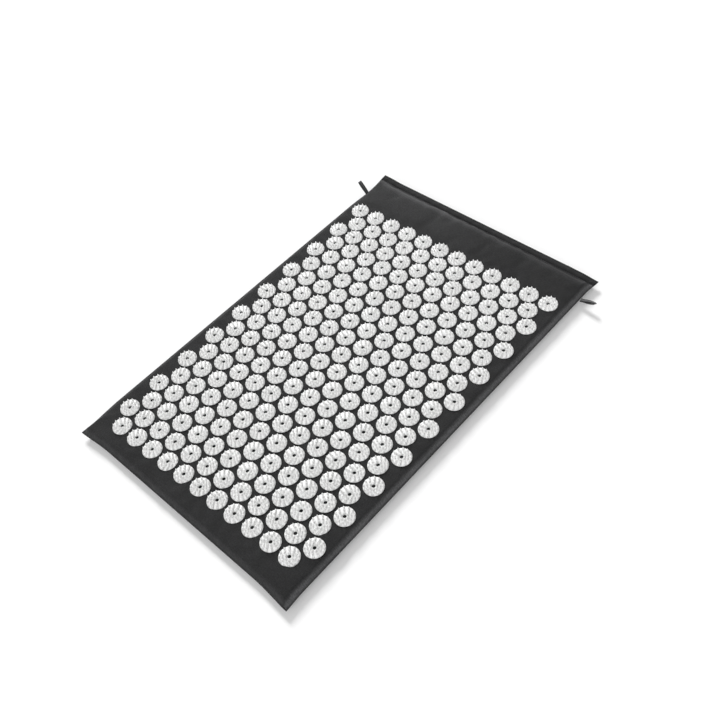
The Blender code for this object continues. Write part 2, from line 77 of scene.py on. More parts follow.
# Border of the cover, from its edge inwards: the frame's, with the head end, the foot and the ears a little
# nearer to the photograph
SEAM_LIP = 1.5 * MM
SEAM_CREASE = 0.5 * MM
SHOULDER_RUN = 8.0 * MM
UNDER_SHOULDER_RUN = 6.0 * MM
HEAD_FLANGE = 10.6 * MM
HEAD_GROOVE_WIDTH = 1.5 * MM
HEAD_GROOVE_DEPTH = 1.0 * MM
HEAD_GROOVE_MIDDLE = HEAD_FLANGE + HEAD_GROOVE_WIDTH / 2
HEAD_SHOULDER_START = HEAD_FLANGE + HEAD_GROOVE_WIDTH
HEAD_SHOULDER_RUN = 10.5 * MM
SIDE_DRAW_IN = 1.0 * MM
FOOT_DRAW_IN = 3.2 * MM
EAR_LENGTH = 28.0 * MM
FOOT_EAR_LENGTH = 60.0 * MM
EAR_PULLS = {(-1, -1): 0.6 * MM, (1, -1): 0.6 * MM, (-1, 1): 0.8 * MM, (1, 1): 1.6 * MM}

# The corner that has curled up, at the left of the head end, and how far its lift reaches each way
CURL_LIFT = 5.0 * MM
CURL_REACH_ACROSS = 34.0 * MM
CURL_REACH_ALONG = 60.0 * MM

# The left seam, which has rolled up a little: its lift, how far that reaches across, and where it ends
ROLL_LIFT = 4.0 * MM
ROLL_REACH = 12.0 * MM
ROLL_START = 310.0 * MM
ROLL_FADE = 70.0 * MM

# How light the cloth is, partly from wear and partly from painted light and shade, on its lips, in the
# groove, on the flat face and on the crests, each with its place, measured inwards from the edge, and its
# width. The right and foot lips are painted lighter and the left one darker. The flange and groove are
# painted dark, with a lighter strip between. The crests of the shoulders carry wear and painted highlights,
# strongest on the right.
# Painted light lies across the head band, more towards the left
LIP_PAINTED_LIGHT = {"left": 0.1, "right": 2.0, "foot": 1.2}
FLANGE_AND_GROOVE_SHADE = 0.1
FLAT_LEVEL = 0.5
FLANGE_PAINTED_LIGHT = 0.5
FLANGE_CREST = 0.4 * HEAD_FLANGE
FLANGE_CREST_WIDTH = 0.25 * HEAD_FLANGE
HEAD_PAINTED_HIGHLIGHT = 0.8
HEAD_CREST = HEAD_SHOULDER_START + 0.6 * HEAD_SHOULDER_RUN
HEAD_CREST_FRONT = 0.3 * HEAD_SHOULDER_RUN
HEAD_CREST_BACK = 0.6 * HEAD_SHOULDER_RUN
HEAD_BAND_PAINTED_LIGHT = 0.55
HEAD_BAND_BALANCE = 0.35
HEAD_BAND_FADE = 90.0 * MM
FOOT_WEAR_AND_HIGHLIGHT = 0.7
FOOT_CREST = 0.5 * SHOULDER_RUN
FOOT_CREST_WIDTH = 0.4 * SHOULDER_RUN
SIDE_WEAR_AND_HIGHLIGHTS = {"left": 0.5, "right": 2.9}
SIDE_CRESTS = {"left": 0.7 * SHOULDER_RUN, "right": 0.45 * SHOULDER_RUN}
SIDE_CREST_WIDTH = 0.35 * SHOULDER_RUN

# Cover cloth: its thickness, the spacing of its mesh, how far it may settle, and where its underside is free
CLOTH_THICKNESS = 0.8 * MM
BORDER_SPACING = 1.4 * MM
FIELD_SPACING = 6.5 * MM
UNDERSIDE_SPACING = 9.0 * MM
SEAM_GAP = 0.1 * MM
EDGE_ROLL = 0.8 * MM
SLACK_SHARE = 0.03
CLOTH_PRESSURE = 4.0
CLOTH_FRAMES = 20
MOST_RISE = 2.2 * MM
MOST_SINK = 0.6 * MM
MOST_SLIDE = 0.8 * MM
START_RIPPLE = 0.25 * MM
RIPPLE_LENGTH = 16.0 * MM
UNDERSIDE_FREE_RUN = SEAM_LIP + SEAM_CREASE + 1.3 * UNDER_SHOULDER_RUN

# Foam: how far it stays below the face of the cloth, and where it ends
FOAM_DEPTH = 2.0 * MM
FOAM_INSET = 4.5 * MM
FOAM_SPACING = 12.0 * MM

# Discs: staggered rows laid a little askew, of which the first few lie closer together
DISC_ROWS = 20
DISCS_IN_FIRST_ROW = 12
COLUMN_SKEW = math.radians(0.25)
CLOSE_GAPS = 3
CLOSER_BY = 1.0 * MM
ROW_SPACING = 3.7 * MM
DISC_TILT = math.radians(0.8)
DISC_BED = 0.05 * MM

# A disc's plate, and how light its rings of points are, from its hole's foot round the rim to the hole's
# top:
# painted shade darkens the hole and the face towards it
PLATE_THICKNESS = 1.5 * MM
PLATE_ROUNDING = 1.1 * MM
PLATE_CORNER_CUT = 0.3 * PLATE_ROUNDING
PLATE_HOLE_RADIUS = 2.6 * MM
PLATE_SIDES = 28
PLATE_PAINTED_LIGHT = (0.0, 1.0, 1.0, 1.0, 0.8, 0.0)

# Its spikes: the share of the width at each share of the height, and how light each of these levels is, with
# painted shade darkest at their feet between the spikes
SPIKE_HEIGHT = 4.3 * MM
SPIKE_LEVELS = ((1.0, 0.0), (0.72, 0.28), (0.38, 0.68), (0.09, 1.0))
SPIKE_PAINTED_LIGHT = (0.0, 0.45, 1.0, 1.0)
SPIKE_RADIUS = 1.85 * MM
SPIKE_SPREAD = 1.28
SPIKE_SIDES = 7
SPIKES_IN_RING = (6, 9, 12)
SPIKE_RING_RADIUS_SHARES = (0.34, 0.62, 0.88)

# Zip coils, wound from nylon wire
COIL_PITCH = 1.5 * MM
COIL_SIDES = 9
COIL_WIRE_RADIUS = 0.33 * MM
COIL_WIRE_SIDES = 6

# Stitches along the groove of the head end: the places of a stitch's rings, their thickness and their height
STITCH_PITCH = 3.2 * MM
STITCH_LENGTH = 2.5 * MM
STITCH_RADIUS = 0.28 * MM
STITCH_SIDES = 6
STITCH_LEVELS = ((-1.0, 0.35, -0.9), (-0.6, 0.85, 0.1), (0.0, 1.0, 0.4), (0.6, 0.85, 0.1), (1.0, 0.35, -0.9))

# Hanging loops, each a ribbon folded round on itself. The spread is how far its plies stand off its middle,
# in millimetres, at each share of its length
RIBBON_WIDTH = 6.0 * MM
RIBBON_THICKNESS = 0.9 * MM
RIBBON_EDGE = 0.25 * MM
RIBBON_MIDDLE = 0.8
LOOP_TWISTS = {"left": math.radians(-14), "right": math.radians(-36)}
LOOP_LENGTHS = {"left": 23.6 * MM, "right": 24.4 * MM}
LOOP_LEAN = math.radians(5)
LOOP_LIFTS = {"left": math.radians(45), "right": math.radians(12)}
LOOP_SPREAD = ((0.0, 0.55), (0.2, 0.75), (0.45, 1.45), (0.7, 1.6), (0.88, 1.25), (0.97, 0.7), (1.0, 0.0))
LOOP_STEPS = 5

# Camera, aimed at a point on the discs: fitted to the lattice of disc centres in the photograph. Its azimuth
# and the lamps' run from +X towards +Y
CAMERA_AIM = (30.49 * MM, 1.59 * MM, 21.4 * MM)
CAMERA_DISTANCE = 1281.7 * MM
CAMERA_AZIMUTH = math.radians(-38.622)
CAMERA_ELEVATION = math.radians(50.855)
CAMERA_ROLL = math.radians(-11.572)
CAMERA_LENS = 44.905
CAMERA_SENSOR = 36.0
CAMERA_NEAR = 10.0 * MM
CAMERA_FAR = 100.0

# Lamps: the share of light that each gives a level surface, its width, its azimuth and its elevation
WINDOW = (0.52, math.radians(19), math.radians(147.5), math.radians(34.5))
FILL = (0.22, math.radians(80), math.radians(-65), math.radians(25))

# Room and floor: the room's light, and the floor's reach, its colour and its glow, which lights nothing else
SKY_STRENGTH = 0.39
FLOOR_SIZE = 30.0
FLOOR_COLOUR = (0.85, 0.85, 0.85)
FLOOR_GLOW = 0.11

SEED = 7


def ease(share):
    """Rises smoothly from 0 to 1."""
    share = min(max(share, 0.0), 1.0)
    return share * share * (3 - 2 * share)


def hump(distance, width):
    """1 in the middle, falling smoothly to nothing with the distance from it."""
    return math.exp(-((distance / width) ** 2))


def bearing(azimuth, elevation):
    """The way towards a thing that stands at this azimuth and elevation."""
    flat = math.cos(elevation)
    return Vector((math.cos(azimuth) * flat, math.sin(azimuth) * flat, math.sin(elevation)))


def spread(start, stop, spacing):
    """Even steps from start to stop, both ends included."""
    count = max(1, round(abs(stop - start) / spacing))
    return [start + (stop - start) * i / count for i in range(count + 1)]


def circle(sides):
    """The angles of a ring's points."""
    return [2 * math.pi * i / sides for i in range(sides)]


def coat(mesh, material):
    """Gives a mesh this material and no other."""
    mesh.materials.clear()
    mesh.materials.append(material)


def add_piece(name, mesh, material=None):
    piece = bpy.data.objects.new(name, mesh)
    bpy.context.scene.collection.objects.link(piece)
    if material:
        coat(mesh, material)
    return piece


def mesh_of(name, bm):
    mesh = bpy.data.meshes.new(name)
    bm.to_mesh(mesh)
    bm.free()
    return mesh


def skinned(name, rings):
    """A closed solid over rings of points, all with the same number of points."""
    bm = bmesh.new()
    rings = [[bm.verts.new(point) for point in ring] for ring in rings]
    for one, two in zip(rings, rings[1:]):
        for i in range(len(one)):
            k = (i + 1) % len(one)
            bm.faces.new((one[i], one[k], two[k], two[i]))
    bm.faces.new(rings[0])
    bm.faces.new(rings[-1])
    bmesh.ops.recalc_face_normals(bm, faces=bm.faces)
    return mesh_of(name, bm)


def finished(piece):
    """Bakes a piece's modifiers into its mesh."""
    bpy.context.view_layer.update()
    mesh = bpy.data.meshes.new_from_object(piece.evaluated_get(bpy.context.evaluated_depsgraph_get()))
    piece.modifiers.clear()
    piece.data = mesh
    return piece


def shade_smooth(mesh, sharp_degrees):
    """Smooth shading, but for edges sharper than this."""
    mesh.shade_smooth()
    mesh.set_sharp_from_angle(angle=math.radians(sharp_degrees))


# Node trees


class Nodes:
    """A node tree and short ways to add its nodes."""

    def __init__(self, tree):
        self.tree = tree

    def give(self, node, key, value):
        """Links or sets one input of a node."""
        if isinstance(value, bpy.types.NodeSocket):
            self.tree.links.new(value, node.inputs[key])
        else:
            node.inputs[key].default_value = value

    def add(self, kind, inputs=(), output=0, **settings):
        """Adds a node, sets or links its inputs, and gives one of its outputs."""
        made = self.tree.nodes.new(kind)
        for key, value in settings.items():
            setattr(made, key, value)
        for key, value in dict(inputs).items():
            self.give(made, key, value)
        return made.outputs[output]

    def math(self, operation, one, two=0.0):
        return self.add("ShaderNodeMath", {0: one, 1: two}, operation=operation)

    def seen_directly(self):
        """1 for what the camera sees straight, in a reflection or through glass, and 0 for light."""
        path = self.add("ShaderNodeLightPath").node
        found = path.outputs["Is Camera Ray"]
        for output in ("Is Glossy Ray", "Is Transmission Ray"):
            found = self.math("MAXIMUM", found, path.outputs[output])
        return found


class Finish(Nodes):
    """A material and short ways to make its pattern."""

    def __init__(self, name):
        self.material = bpy.data.materials.new(name)
        self.material.use_nodes = True
        super().__init__(self.material.node_tree)
        self.shader = self.tree.nodes["Principled BSDF"]

    def through_piece(self):
        """Object coordinates in millimetres."""
        coords = self.add("ShaderNodeTexCoord", output=3)
        return self.add("ShaderNodeMapping", {"Vector": coords, "Scale": (1 / MM, 1 / MM, 1 / MM)})

    def along_cloth(self):
        """Places on the flat cloth in millimetres."""
        flat = self.add("ShaderNodeUVMap", uv_map="cloth")
        return self.add("ShaderNodeMapping", {"Vector": flat, "Scale": (1 / MM, 1 / MM, 1.0)})

    def noise(self, coords, scale, detail=2.0, roughness=0.5):
        inputs = {"Vector": coords, "Scale": scale, "Detail": detail, "Roughness": roughness}
        return self.add("ShaderNodeTexNoise", inputs)

    def between(self, value, from_low, from_high, low, high):
        """The value, stretched from one span to another and kept within it."""
        inputs = {"Value": value, "From Min": from_low, "From Max": from_high, "To Min": low, "To Max": high}
        return self.add("ShaderNodeMapRange", inputs)

    def tone(self, colour, *factors):
        """The colour, lighter or darker by each of the factors."""
        factor = factors[0]
        for more in factors[1:]:
            factor = self.math("MULTIPLY", factor, more)
        self.set(Base_Color=self.add("ShaderNodeHueSaturation", {"Value": factor, "Color": (*colour, 1.0)}))

    def bump(self, height, distance, strength=1.0, below=None):
        inputs = {"Height": height, "Distance": distance, "Strength": strength}
        if below is not None:
            inputs["Normal"] = below
        return self.add("ShaderNodeBump", inputs)

    def set(self, **values):
        """Sets or links inputs of the shader, named with underscores for spaces."""
        for key, value in values.items():
            self.give(self.shader, key.replace("_", " "), value)


def woven(finish, coords, pitch_mm):
    """The height of a plain weave, in which each yarn runs over one and under the next."""
    axes = finish.add("ShaderNodeSeparateXYZ", {"Vector": coords}).node
    waves = []
    for axis in ("X", "Y"):
        turn = finish.math("MULTIPLY", axes.outputs[axis], math.pi / pitch_mm)
        waves.append(finish.math("SINE", turn))
    crossing = finish.math("MULTIPLY", waves[0], waves[1])
    over = finish.between(crossing, -0.3, 0.3, 0.0, 1.0)
    round_warp = finish.math("ABSOLUTE", waves[0])
    round_weft = finish.math("ABSOLUTE", waves[1])
    return finish.add("ShaderNodeMix", {"Factor": over, "A": round_warp, "B": round_weft})


def cover_cloth():
    """Charcoal cotton canvas: a fine plain weave, mottled yarns, broad soft clouds of tone, wear with
    painted highlights and painted shade, and a dry sheen.
    """
    finish = Finish("cover_cloth")
    coords = finish.along_cloth()
    weave = woven(finish, coords, pitch_mm=0.62)
    warp = finish.add("ShaderNodeMapping", {"Vector": coords, "Scale": (1.3, 0.12, 1.0)})
    weft = finish.add("ShaderNodeMapping", {"Vector": coords, "Scale": (0.12, 1.3, 1.0)})
    slubs = finish.math("ADD", finish.noise(warp, 1.0, 3.0), finish.noise(weft, 1.0, 3.0))
    grain = finish.noise(coords, 0.55, 4.0, 0.65)
    cloud = finish.noise(coords, 0.018, 3.0, 0.55)
    # Wear with painted light and shade, from the panels' attribute: lighter on the shoulders' crests and the
    # right and foot lips, darker in the flange and groove
    wear_and_painted_light = finish.add("ShaderNodeAttribute", attribute_name="wear_and_painted_light", output=2)
    finish.tone(
        (0.0225, 0.0225, 0.023),
        finish.between(wear_and_painted_light, 0.0, 5.0, 0.4, 6.4),
        finish.between(weave, 0.0, 1.0, 0.80, 1.12),
        finish.between(slubs, 0.6, 1.4, 0.70, 1.30),
        finish.between(grain, 0.3, 0.7, 0.70, 1.30),
        finish.between(cloud, 0.3, 0.7, 0.88, 1.12),
    )
    coarse = finish.bump(slubs, 0.10 * MM, 0.8)
    finish.set(Normal=finish.bump(weave, 0.16 * MM, 0.9, coarse))
    finish.set(Roughness=0.62, Sheen_Weight=0.04, Sheen_Roughness=0.45, Sheen_Tint=(0.8, 0.8, 0.82, 1.0))
    finish.set(Specular_IOR_Level=0.07)
    return finish.material


def disc_plastic():
    """White moulded plastic, satin, with painted shade greying it down between the spikes and in the hole,
    and a faint grain.
    """
    finish = Finish("disc_plastic")
    coords = finish.through_piece()
    grain = finish.noise(coords, 1.6, 3.0)
    batch = finish.noise(coords, 0.03, 1.0)
    # Painted shade from the meshes' attribute: darker low between the spikes and in the hole
    painted_light = finish.add("ShaderNodeAttribute", attribute_name="painted_light", output=2)
    finish.tone(
        (0.895, 0.895, 0.89),
        finish.between(painted_light, 0.0, 1.0, 0.77, 1.0),
        finish.between(grain, 0.3, 0.7, 0.985, 1.01),
        finish.between(batch, 0.3, 0.7, 0.97, 1.01),
    )
    finish.set(Normal=finish.bump(grain, 0.02 * MM, 0.5))
    finish.set(Roughness=0.38, Coat_Weight=0.08, Coat_Roughness=0.25)
    finish.set(Specular_IOR_Level=0.2, Subsurface_Weight=0.45, Subsurface_Radius=(1.0, 1.0, 1.0))
    finish.set(Subsurface_Scale=1.2 * MM)
    return finish.material


def foam_block():
    """Pale open-cell foam."""
    finish = Finish("foam_block")
    coords = finish.through_piece()
    cells = finish.add("ShaderNodeTexVoronoi", {"Vector": coords, "Scale": 1.4})
    cloud = finish.noise(coords, 0.05, 2.0)
    finish.tone(
        (0.78, 0.74, 0.62),
        finish.between(cells, 0.0, 0.7, 0.72, 1.05),
        finish.between(cloud, 0.3, 0.7, 0.94, 1.05),
    )
    finish.set(Normal=finish.bump(cells, 0.4 * MM))
    finish.set(Roughness=0.95)
    return finish.material


def zip_tape_cloth():
    """Black zip tape in a fine plain weave."""
    finish = Finish("zip_tape_cloth")
    coords = finish.through_piece()
    weave = woven(finish, coords, pitch_mm=0.3)
    slubs = finish.noise(coords, 2.5, 3.0)
    finish.tone(
        (0.026, 0.026, 0.028),
        finish.between(weave, 0.0, 1.0, 0.75, 1.2),
        finish.between(slubs, 0.3, 0.7, 0.85, 1.15),
    )
    finish.set(Normal=finish.bump(weave, 0.08 * MM))
    finish.set(Roughness=0.85, Sheen_Weight=0.2)
    return finish.material


def zip_nylon():
    """Black nylon filament, smooth and slightly glossy."""
    finish = Finish("zip_nylon")
    coords = finish.through_piece()
    drawn = finish.noise(coords, 4.0, 2.0)
    finish.tone((0.022, 0.022, 0.024), finish.between(drawn, 0.3, 0.7, 0.85, 1.2))
    finish.set(Normal=finish.bump(drawn, 0.01 * MM))
    finish.set(Roughness=0.34, Coat_Weight=0.1)
    return finish.material


def slider_metal():
    """Black enamelled zinc, worn through in small spots."""
    finish = Finish("slider_metal")
    coords = finish.through_piece()
    orange_peel = finish.noise(coords, 1.8, 2.0)
    wear_and_painted_light = finish.noise(coords, 0.9, 6.0, 0.7)
    worn = finish.between(wear_and_painted_light, 0.66, 0.72, 0.0, 1.0)
    enamel, zinc = (0.018, 0.018, 0.02, 1.0), (0.42, 0.42, 0.44, 1.0)
    colour = finish.add("ShaderNodeMix", {"Factor": worn, "A": enamel, "B": zinc}, 2, data_type="RGBA")
    finish.set(Base_Color=colour, Roughness=finish.between(orange_peel, 0.3, 0.7, 0.26, 0.42))
    finish.set(Metallic=finish.between(wear_and_painted_light, 0.66, 0.72, 0.25, 1.0))
    finish.set(Normal=finish.bump(orange_peel, 0.02 * MM))
    return finish.material


def loop_ribbon():
    """Black grosgrain ribbon: fine ribs across it, and a painted sheen lighter along its middle."""
    finish = Finish("loop_ribbon")
    coords = finish.along_cloth()
    axes = finish.add("ShaderNodeSeparateXYZ", {"Vector": coords}).node
    rib_mm = 0.5
    turn = finish.math("MULTIPLY", axes.outputs["X"], math.pi / rib_mm)
    ribs = finish.math("ABSOLUTE", finish.math("SINE", turn))
    slubs = finish.noise(coords, 1.8, 3.0)
    # Painted sheen: much lighter along the ribbon's middle, darker towards its edges
    edge = finish.math("ABSOLUTE", axes.outputs["Y"])
    finish.tone(
        (0.024, 0.024, 0.026),
        finish.between(edge, 0.5, 1.5, 2.2, 0.4),
        finish.between(ribs, 0.0, 1.0, 0.7, 1.25),
        finish.between(slubs, 0.3, 0.7, 0.85, 1.15),
    )
    finish.set(Normal=finish.bump(ribs, 0.12 * MM))
    finish.set(Roughness=0.7, Sheen_Weight=0.25, Sheen_Roughness=0.4)
    return finish.material


def thread_cotton():
    """Charcoal sewing thread, twisted."""
    finish = Finish("thread_cotton")
    coords = finish.through_piece()
    twist = finish.add("ShaderNodeTexWave", {"Vector": coords, "Scale": 1.6, "Distortion": 1.5})
    finish.tone((0.03, 0.03, 0.032), finish.between(twist, 0.0, 1.0, 0.75, 1.25))
    finish.set(Normal=finish.bump(twist, 0.05 * MM))
    finish.set(Roughness=0.75, Sheen_Weight=0.2)
    return finish.material


# The cover


def side_rise(inset, run):
    """How far a cover panel has risen at this distance from a side: 0 at the seam, 1 on the flat face."""
    share = (inset - SEAM_LIP - SEAM_CREASE) / run
    return math.sin(math.pi / 2 * min(max(share, 0.0), 1.0))


def head_rise(inset):
    """The same from the head end, where the flange for the zip comes first."""
    share = (inset - HEAD_SHOULDER_START) / HEAD_SHOULDER_RUN
    return math.sin(math.pi / 2 * min(max(share, 0.0), 1.0))


def groove_depth(inset):
    """The stitched groove between the flange and the shoulder at the head end."""
    share = abs(inset - HEAD_GROOVE_MIDDLE) / (2 * HEAD_GROOVE_WIDTH)
    return HEAD_GROOVE_DEPTH * (1 - ease(share))


def curl(x, y):
    """How far the curled corner and the rolled seam lift the mat at this place."""
    across = 1 - ease((x + HALF_WIDTH) / CURL_REACH_ACROSS)
    corner = CURL_LIFT * across * (1 - ease((HALF_LENGTH - y) / CURL_REACH_ALONG))
    along = ease((y + HALF_LENGTH) / ROLL_FADE) * (1 - ease((y - ROLL_START + ROLL_FADE) / ROLL_FADE))
    return corner + ROLL_LIFT * along * (1 - ease((x + HALF_WIDTH) / ROLL_REACH))


def cover_point(u, v, side):
    """A point of a cover panel at rest: u and v are its flat place, side is 1 on top and -1 below."""
    across, along = HALF_WIDTH - abs(u), HALF_LENGTH - abs(v)
    head = ease(across / EAR_LENGTH) if v > 0 else 0.0
    run = SHOULDER_RUN if side > 0 else UNDER_SHOULDER_RUN
    rise = side_rise(across, run) * (head_rise(along) if v > 0 else side_rise(along, run))
    roll = EDGE_ROLL * (1 - ease(min(across, along) / SEAM_LIP))
    mouth = MOUTH_HALF_HEIGHT * head * (1 - ease((along - HEAD_FLANGE) / HEAD_SHOULDER_RUN))
    lip = SEAM_GAP + CLOTH_THICKNESS + mouth
    height = lip + (PAD_HEIGHT / 2 - lip) * rise
    if v > 0:
        height -= groove_depth(along) * ease(across / EAR_LENGTH)
    height -= roll * (1 - head if v > 0 and along < across else 1)
    x = u * (1 - SIDE_DRAW_IN / HALF_WIDTH * ease(along / EAR_LENGTH))
    y = v * (1 - FOOT_DRAW_IN / HALF_LENGTH * ease(across / FOOT_EAR_LENGTH)) if v < 0 else v
    end, flank = math.copysign(1, v), math.copysign(1, u)
    pull = EAR_PULLS[flank, end] * (1 - ease(across / EAR_LENGTH)) * (1 - ease(along / EAR_LENGTH))
    return Vector((x + flank * pull, y + end * pull, SEAM_HEIGHT + side * height + curl(x, y)))


def cover_normal(u, v, side):
    """The way a cover panel faces at this place, outwards."""
    step = BORDER_SPACING / 4
    across = cover_point(u + step, v, side) - cover_point(u - step, v, side)
    along = cover_point(u, v + step, side) - cover_point(u, v - step, side)
    return across.cross(along).normalized() * side


def stations(start, stop, start_border, stop_border, spacing):
    """Mesh lines from start to stop: those of two borders, given as insets, and even steps between."""
    first = [start + inset for inset in start_border]
    last = [stop - inset for inset in reversed(stop_border)]
    return first + spread(first[-1], last[0], spacing)[1:-1] + last


def panel_stations(spacing, run):
    """The lines of a panel's mesh, across and along it: close together in the border, wide in the field."""
    border = spread(0.0, SEAM_LIP, SEAM_LIP / 2)
    border += spread(SEAM_LIP + SEAM_CREASE, SEAM_LIP + SEAM_CREASE + run, BORDER_SPACING)
    head = spread(0.0, HEAD_FLANGE, BORDER_SPACING)
    head += spread(HEAD_GROOVE_MIDDLE, HEAD_SHOULDER_START, HEAD_GROOVE_WIDTH / 2)
    head += spread(HEAD_SHOULDER_START, HEAD_SHOULDER_START + HEAD_SHOULDER_RUN, BORDER_SPACING)[1:]
    us = stations(-HALF_WIDTH, HALF_WIDTH, border, border, spacing)
    vs = stations(-HALF_LENGTH, HALF_LENGTH, border, head, spacing)
    return us, vs


def disc_places():
    """The centre of every disc, row by row from the head end, with each second row one disc shorter.

    The rows run along the first and the last disc of the frame's own row.
    """
    across = (LAST_DISC - FIRST_DISC).xy / (DISCS_IN_FIRST_ROW - 1)
    pitch = across.length
    row_pitch = math.sqrt((DISC_DIAMETER + ROW_SPACING) ** 2 - (pitch / 2) ** 2)
    along = Vector((math.sin(COLUMN_SKEW), -math.cos(COLUMN_SKEW)))
    rows = []
    for row in range(DISC_ROWS):
        count = DISCS_IN_FIRST_ROW - row % 2
        reach = row * row_pitch - min(row, CLOSE_GAPS) * CLOSER_BY
        first = FIRST_DISC.xy + along * reach + across * (row % 2) / 2
        rows.append([first + across * i for i in range(count)])
    return rows


def wear_and_painted_light_share(u, v):
    """How light the cloth is here, from wear and painted light and shade: lightest on the crests of the
    shoulders, with wear and painted highlights, and darkest in the groove, with painted shade.
    """
    across, along = HALF_WIDTH - abs(u), HALF_LENGTH - abs(v)
    flank = "left" if u <= 0 else "right"
    if v > 0 and along < HEAD_SHOULDER_START:
        # Painted shade darkens the flange and the groove, with a lighter strip painted along the flange
        return FLANGE_AND_GROOVE_SHADE + FLANGE_PAINTED_LIGHT * hump(along - FLANGE_CREST, FLANGE_CREST_WIDTH)
    if min(across, along) < SEAM_LIP + SEAM_CREASE:
        # The seam lips: painted lighter on the right and at the foot, darker on the left
        return LIP_PAINTED_LIGHT[flank if across < along else "foot"]
    if v > 0:
        # Painted highlight on the head end's shoulder and painted light across the head band, both lighter
        # to the left
        behind = along - HEAD_CREST
        width = HEAD_CREST_FRONT if behind < 0 else HEAD_CREST_BACK
        leftwards = ease(0.5 - u / HALF_WIDTH)
        end_wear_and_light = (HEAD_PAINTED_HIGHLIGHT + leftwards) * hump(behind, width)
        band = HEAD_BAND_PAINTED_LIGHT * (1 - ease(behind / HEAD_BAND_FADE)) * (leftwards - HEAD_BAND_BALANCE)
    else:
        # Wear and a painted highlight on the foot's shoulder
        end_wear_and_light = FOOT_WEAR_AND_HIGHLIGHT * hump(along - FOOT_CREST, FOOT_CREST_WIDTH)
        band = 0.0
    # Wear and painted highlights on the crests of the sides' shoulders, far stronger on the right
    side_wear_and_light = SIDE_WEAR_AND_HIGHLIGHTS[flank] * hump(across - SIDE_CRESTS[flank], SIDE_CREST_WIDTH)
    return FLAT_LEVEL + max(end_wear_and_light, side_wear_and_light) + band


def panel_mesh(name, side, spacing):
    """The grid of one cover panel, with its flat places as the UV map that the weave follows."""
    us, vs = panel_stations(spacing, SHOULDER_RUN if side > 0 else UNDER_SHOULDER_RUN)
    bm = bmesh.new()
    cloth = bm.loops.layers.uv.new("cloth")
    rows = [[bm.verts.new(cover_point(u, v, side)) for u in us] for v in vs]
    for j in range(len(vs) - 1):
        for i in range(len(us) - 1):
            corners = ((i, j), (i + 1, j), (i + 1, j + 1), (i, j + 1))
            if side < 0:
                corners = corners[::-1]
            face = bm.faces.new([rows[b][a] for a, b in corners])
            for loop, (a, b) in zip(face.loops, corners):
                loop[cloth].uv = (us[a], vs[b])
    places = [(u, v) for v in vs for u in us]
    mesh = mesh_of(name, bm)
    # How light the cloth is at each point, from wear, painted highlights and painted shade
    wear_and_painted_light = mesh.attributes.new("wear_and_painted_light", "FLOAT", "POINT")
    wear_and_painted_light.data.foreach_set("value", [wear_and_painted_light_share(u, v) for u, v in places])
    return mesh, places


def held_share(u, v, side, discs):
    """1 where the cloth is sewn, has a disc fixed to it or bears the mat, and 0 where it is free."""
    across, along = HALF_WIDTH - abs(u), HALF_LENGTH - abs(v)
    if min(across, along) < SEAM_LIP + SEAM_CREASE / 2:
        return 1.0
    if v > 0 and abs(along - HEAD_GROOVE_MIDDLE) < HEAD_GROOVE_WIDTH:
        return 1.0
    if side < 0:
        return 1.0 if min(across, along) > UNDERSIDE_FREE_RUN else 0.0
    nearest = min((Vector((u, v)) - Vector(place)).length for place in discs)
    return 1.0 if nearest < DISC_DIAMETER / 2 else 0.0


def settle(panel, places, side, discs):
    """Lets a panel's cloth settle on the foam: a little too large, it ripples where nothing holds it."""
    mesh = panel.data
    held = panel.vertex_groups.new(name="held")
    rest = np.array([vertex.co for vertex in mesh.vertices])
    for index, (u, v) in enumerate(places):
        weight = held_share(u, v, side, discs)
        if weight > 0:
            held.add([index], weight, "REPLACE")
        else:
            ripple = noise.noise(Vector((u, v, side)) / RIPPLE_LENGTH)
            mesh.vertices[index].co.z += side * START_RIPPLE * ripple
    cloth = panel.modifiers.new("settle", "CLOTH")
    settings = cloth.settings
    settings.quality = 6
    settings.mass = 0.2
    settings.tension_stiffness = 25.0
    settings.compression_stiffness = 25.0
    settings.shear_stiffness = 6.0
    settings.bending_stiffness = 0.25
    settings.use_pressure = True
    settings.uniform_pressure_force = CLOTH_PRESSURE
    settings.shrink_min = -SLACK_SHARE
    settings.vertex_group_mass = "held"
    settings.effector_weights.gravity = 0.0
    cloth.collision_settings.use_collision = False
    cloth.point_cache.frame_start = 1
    cloth.point_cache.frame_end = CLOTH_FRAMES
    for number in range(1, CLOTH_FRAMES + 1):
        bpy.context.scene.frame_set(number)
    settled = panel.evaluated_get(bpy.context.evaluated_depsgraph_get())
    moved = np.array([vertex.co for vertex in settled.data.vertices])
    panel.modifiers.clear()
    bpy.context.scene.frame_set(1)
    normals = np.array([cover_normal(u, v, side) for u, v in places])
    shift = moved - rest
    rise = (shift * normals).sum(axis=1, keepdims=True)
    slide = np.clip(shift - rise * normals, -MOST_SLIDE, MOST_SLIDE)
    settled_points = rest + np.clip(rise, -MOST_SINK, MOST_RISE) * normals + slide
    mesh.vertices.foreach_set("co", settled_points.astype(np.float32).ravel())
    mesh.update()


def make_panel(name, node, side, spacing, material, discs):
    """One side of the cover: settled cloth with a real thickness and closed edges."""
    mesh, places = panel_mesh(name, side, spacing)
    panel = add_piece(name, mesh, material)
    settle(panel, places, side, discs)
    smooth = panel.modifiers.new("smooth", "SUBSURF")
    smooth.levels = smooth.render_levels = 1
    thick = panel.modifiers.new("thick", "SOLIDIFY")
    thick.thickness = CLOTH_THICKNESS
    thick.offset = -1.0
    finished(panel)
    panel.data.shade_smooth()
    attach(panel, "cover")
    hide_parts(node)
    return panel


def foam_point(u, v, side):
    """A point of the foam's face: it follows the cover at a depth below the cloth."""
    point = cover_point(u, v, side) - cover_normal(u, v, side) * FOAM_DEPTH
    seam = SEAM_HEIGHT + curl(point.x, point.y)
    point.z = seam + side * max(side * (point.z - seam), 0.0)
    return point


